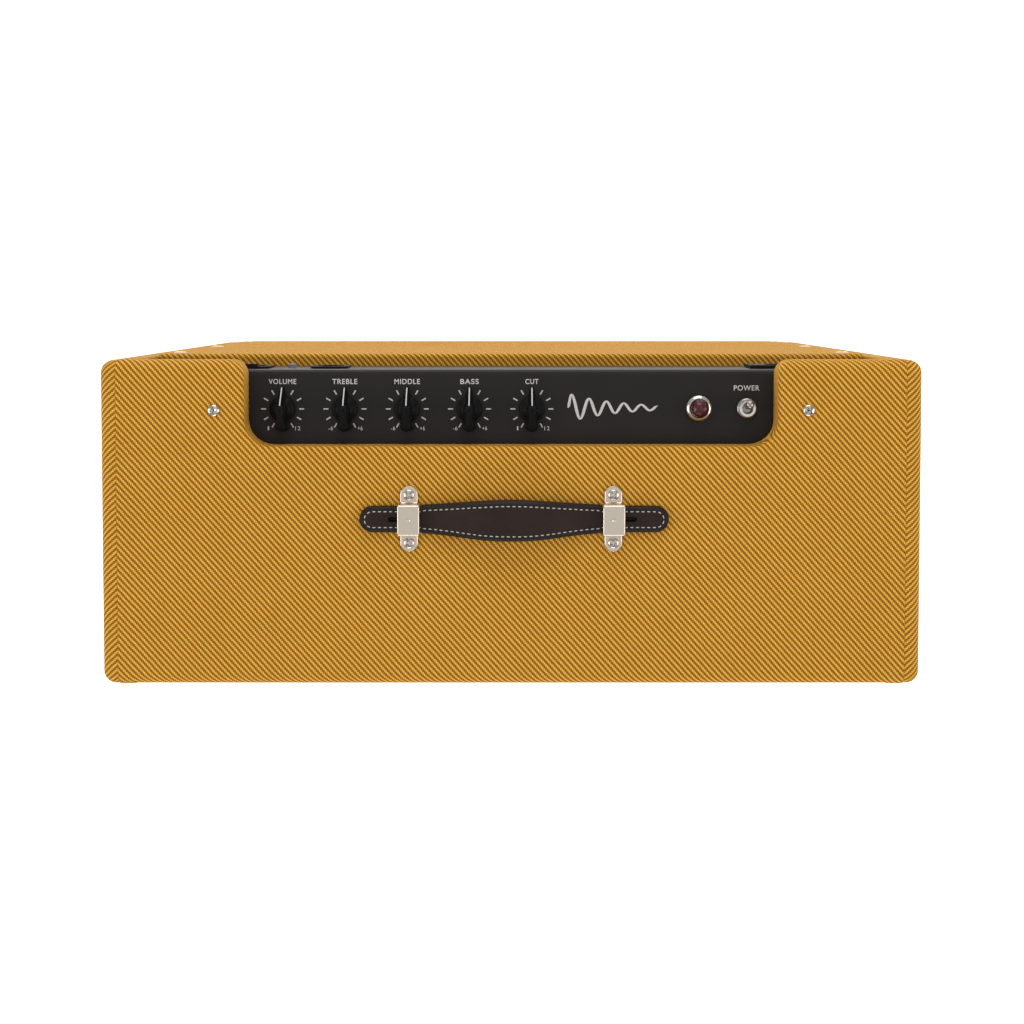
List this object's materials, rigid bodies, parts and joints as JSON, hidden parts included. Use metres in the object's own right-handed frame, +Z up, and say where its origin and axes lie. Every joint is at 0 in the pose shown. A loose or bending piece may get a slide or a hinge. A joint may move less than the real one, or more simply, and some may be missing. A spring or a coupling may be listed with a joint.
{
  "type": "guitar amplifier",
  "caption": "Combo guitar amplifier in a tweed-covered wooden cabinet, with a recessed control panel in the top, a leather strap handle, a leaning grille front and a closed back.",
  "frame": {"origin": "on the floor, under the centre of the whole amplifier's bounding box", "axes": "+X to the right as seen from the grille side, along the width; +Y from the grille to the connectors; +Z up"},
  "size_m": [0.505, 0.2384, 0.4553],
  "materials": {
    "tweed_covered_pine": "pine board under a lacquered yellow-brown tweed cloth with a diagonal twill",
    "tweed_covered_panel": "thin plywood under the same lacquered tweed cloth",
    "bare_plywood": "unfinished birch plywood",
    "woven_grille_cloth": "dark oxblood woven grille cloth with a fine gold stripe",
    "black_satin_steel": "satin black enamel on bent steel",
    "plain_aluminium": "plain rolled sheet and turned shafts",
    "nickel_plate": "bright nickel and chrome plate, lightly worn",
    "black_phenolic": "moulded black pointer knob with a white line",
    "black_nylon": "moulded black nylon",
    "grey_button": "grey push button",
    "ruby_jewel": "faceted dark red lamp jewel",
    "brown_strap_leather": "dark brown stitched leather with burnished edges",
    "black_rubber": "moulded black rubber",
    "green_circuit_board": "glass-fibre board with fitted components",
    "cone_paper": "pressed dark grey paper cone, not wetted or coated"
  },
  "bodies": {
    "root": {"cab_top_board": "tweed_covered_pine", "cab_bottom_board": "tweed_covered_pine", "cab_side_left": "tweed_covered_pine", "cab_side_right": "tweed_covered_pine", "back_panel": "tweed_covered_panel", "baffle_board": "bare_plywood", "back_batten_left": "bare_plywood", "back_batten_right": "bare_plywood", "grille_cloth": "woven_grille_cloth", "chassis": "black_satin_steel", "speaker_frame": "black_satin_steel", "speaker_motor": "black_satin_steel", "chassis_cover": "plain_aluminium", "lamp_bezel": "nickel_plate", "toggle_body": "nickel_plate", "toggle_nut": "nickel_plate", "handle_cap_left": "nickel_plate", "handle_cap_right": "nickel_plate", "chassis_screw_left": "nickel_plate", "chassis_screw_right": "nickel_plate", "handle_screw_1": "nickel_plate", "handle_screw_2": "nickel_plate", "handle_screw_3": "nickel_plate", "handle_screw_4": "nickel_plate", "back_screw_1": "nickel_plate", "back_screw_2": "nickel_plate", "back_screw_3": "nickel_plate", "back_screw_4": "nickel_plate", "back_screw_5": "nickel_plate", "back_screw_6": "nickel_plate", "mains_inlet": "black_nylon", "input_jack": "black_nylon", "line_out_jack": "black_nylon", "speaker_lead": "black_nylon", "lamp_jewel": "ruby_jewel", "foot_front_left": "black_rubber", "foot_front_right": "black_rubber", "foot_rear_left": "black_rubber", "foot_rear_right": "black_rubber", "speaker_surround": "black_rubber", "control_board": "green_circuit_board", "power_module": "green_circuit_board"},
    "knob_volume_turning": {"knob_volume": "black_phenolic", "pot_shaft_volume": "plain_aluminium"},
    "knob_treble_turning": {"knob_treble": "black_phenolic", "pot_shaft_treble": "plain_aluminium"},
    "knob_middle_turning": {"knob_middle": "black_phenolic", "pot_shaft_middle": "plain_aluminium"},
    "knob_bass_turning": {"knob_bass": "black_phenolic", "pot_shaft_bass": "plain_aluminium"},
    "knob_cut_turning": {"knob_cut": "black_phenolic", "pot_shaft_cut": "plain_aluminium"},
    "power_lever": {"toggle_lever": "nickel_plate"},
    "ground_lift": {"ground_lift_button": "grey_button"},
    "cone": {"speaker_cone": "cone_paper"},
    "strap_middle": {"strap_grip": "brown_strap_leather"},
    "link_left": {"strap_link_left": "brown_strap_leather"},
    "link_right": {"strap_link_right": "brown_strap_leather"},
    "tab_left": {"strap_tab_left": "brown_strap_leather"},
    "tab_right": {"strap_tab_right": "brown_strap_leather"}
  },
  "joints": [
    {"name": "volume_turn", "type": "hinge", "parent": "root", "child": "knob_volume_turning", "pos_m": [-0.1425, 0.0859, 0.4317], "axis": [0, 0, -1], "range_deg": [-150, 150]},
    {"name": "treble_turn", "type": "hinge", "parent": "root", "child": "knob_treble_turning", "pos_m": [-0.10365, 0.0859, 0.4317], "axis": [0, 0, -1], "range_deg": [-150, 150]},
    {"name": "middle_turn", "type": "hinge", "parent": "root", "child": "knob_middle_turning", "pos_m": [-0.0648, 0.0859, 0.4317], "axis": [0, 0, -1], "range_deg": [-150, 150]},
    {"name": "bass_turn", "type": "hinge", "parent": "root", "child": "knob_bass_turning", "pos_m": [-0.02595, 0.0859, 0.4317], "axis": [0, 0, -1], "range_deg": [-150, 150]},
    {"name": "cut_turn", "type": "hinge", "parent": "root", "child": "knob_cut_turning", "pos_m": [0.0129, 0.0859, 0.4317], "axis": [0, 0, -1], "range_deg": [-150, 150]},
    {"name": "power_toggle", "type": "hinge", "parent": "root", "child": "power_lever", "pos_m": [0.1467, 0.0864, 0.4247], "axis": [1, 0, 0], "range_deg": [0, 22]},
    {"name": "ground_lift_push", "type": "slide", "parent": "root", "child": "ground_lift", "axis": [0, -1, 0], "range_m": [0, 0.0025], "stiffness_N_per_m": 300},
    {"name": "cone_travel", "type": "slide", "parent": "root", "child": "cone", "axis": [0, -0.9964, 0.0852], "range_m": [-0.005, 0.005], "stiffness_N_per_m": 2500},
    {"name": "handle_lift", "type": "slide", "parent": "root", "child": "strap_middle", "axis": [0, 0, 1], "range_m": [0, 0.014]},
    {"name": "link_left_turn", "type": "hinge", "parent": "strap_middle", "child": "link_left", "pos_m": [-0.018, 0.0198, 0.4505], "axis": [0, 1, 0], "range_deg": [-25.38, 0.5]},
    {"name": "tab_left_turn", "type": "hinge", "parent": "link_left", "child": "tab_left", "pos_m": [-0.052, 0.0198, 0.4478], "axis": [0, 1, 0], "range_deg": [-0.5, 25.38]},
    {"name": "link_right_turn", "type": "hinge", "parent": "strap_middle", "child": "link_right", "pos_m": [0.018, 0.0198, 0.4505], "axis": [0, 1, 0], "range_deg": [-0.5, 25.38]},
    {"name": "tab_right_turn", "type": "hinge", "parent": "link_right", "child": "tab_right", "pos_m": [0.052, 0.0198, 0.4478], "axis": [0, 1, 0], "range_deg": [-25.38, 0.5]}
  ],
  "couplings": [
    {"joint": "link_left_turn", "follows": "handle_lift", "rad_per_m": -30.888},
    {"joint": "link_right_turn", "follows": "handle_lift", "rad_per_m": 30.888},
    {"joint": "tab_left_turn", "follows": "handle_lift", "rad_per_m": 30.888},
    {"joint": "tab_right_turn", "follows": "handle_lift", "rad_per_m": -30.888}
  ]
}
